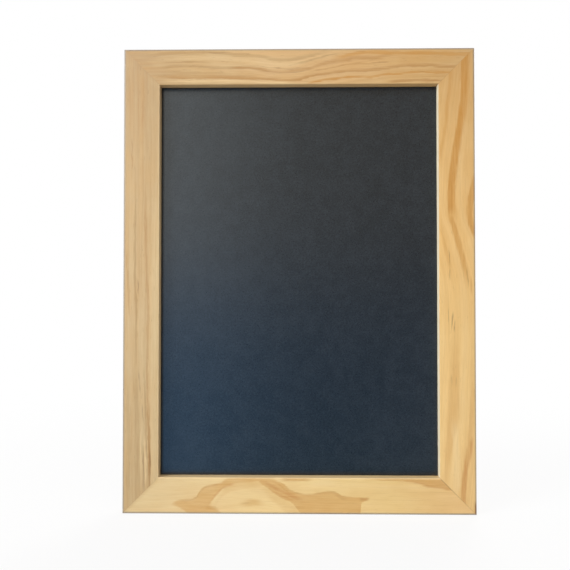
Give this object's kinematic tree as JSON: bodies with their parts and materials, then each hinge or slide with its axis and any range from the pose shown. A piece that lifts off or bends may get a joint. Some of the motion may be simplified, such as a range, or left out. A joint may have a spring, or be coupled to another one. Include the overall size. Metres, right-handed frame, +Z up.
{
  "type": "framed chalkboard",
  "caption": "Upright chalkboard: a dark satin writing panel recessed in a mitred, flat-faced pine frame, with hanging D-rings on its back.",
  "frame": {"origin": "centre of the bottom rail's underside, midway between the frame's front and back faces", "axes": "+X to the right as seen from the writing side, +Y out of the back towards the wall, +Z up along the stiles"},
  "size_m": [0.267, 0.0192, 0.353],
  "materials": {
    "pine": "clear satin lacquer on planed pine",
    "chalk_panel": "satin dark blackboard coating on hardboard",
    "framers_point": "blackened spring steel",
    "v_nail": "bright hardened steel",
    "plated_strap": "satin nickel plate",
    "plated_wire": "bright nickel plate",
    "plated_screw": "zinc plate"
  },
  "bodies": {
    "frame": {"bottom_rail": "pine", "top_rail": "pine", "left_stile": "pine", "right_stile": "pine", "chalk_panel": "chalk_panel", "bottom_rail_point_1": "framers_point", "bottom_rail_point_2": "framers_point", "top_rail_point_1": "framers_point", "top_rail_point_2": "framers_point", "left_stile_point_1": "framers_point", "left_stile_point_2": "framers_point", "left_stile_point_3": "framers_point", "right_stile_point_1": "framers_point", "right_stile_point_2": "framers_point", "right_stile_point_3": "framers_point", "bottom_left_v_nail_1": "v_nail", "bottom_left_v_nail_2": "v_nail", "bottom_right_v_nail_1": "v_nail", "bottom_right_v_nail_2": "v_nail", "top_left_v_nail_1": "v_nail", "top_left_v_nail_2": "v_nail", "top_right_v_nail_1": "v_nail", "top_right_v_nail_2": "v_nail", "left_hanger_strap": "plated_strap", "right_hanger_strap": "plated_strap", "left_hanger_screw": "plated_screw", "right_hanger_screw": "plated_screw"},
    "ring_left": {"left_hanger_ring": "plated_wire"},
    "ring_right": {"right_hanger_ring": "plated_wire"}
  },
  "joints": [
    {"name": "left_ring_swing", "type": "hinge", "parent": "frame", "child": "ring_left", "pos_m": [-0.12225, 0.0096, 0.263], "axis": [1, 0, 0], "range_deg": [0, 179]},
    {"name": "right_ring_swing", "type": "hinge", "parent": "frame", "child": "ring_right", "pos_m": [0.12225, 0.0096, 0.263], "axis": [1, 0, 0], "range_deg": [0, 179]}
  ]
}
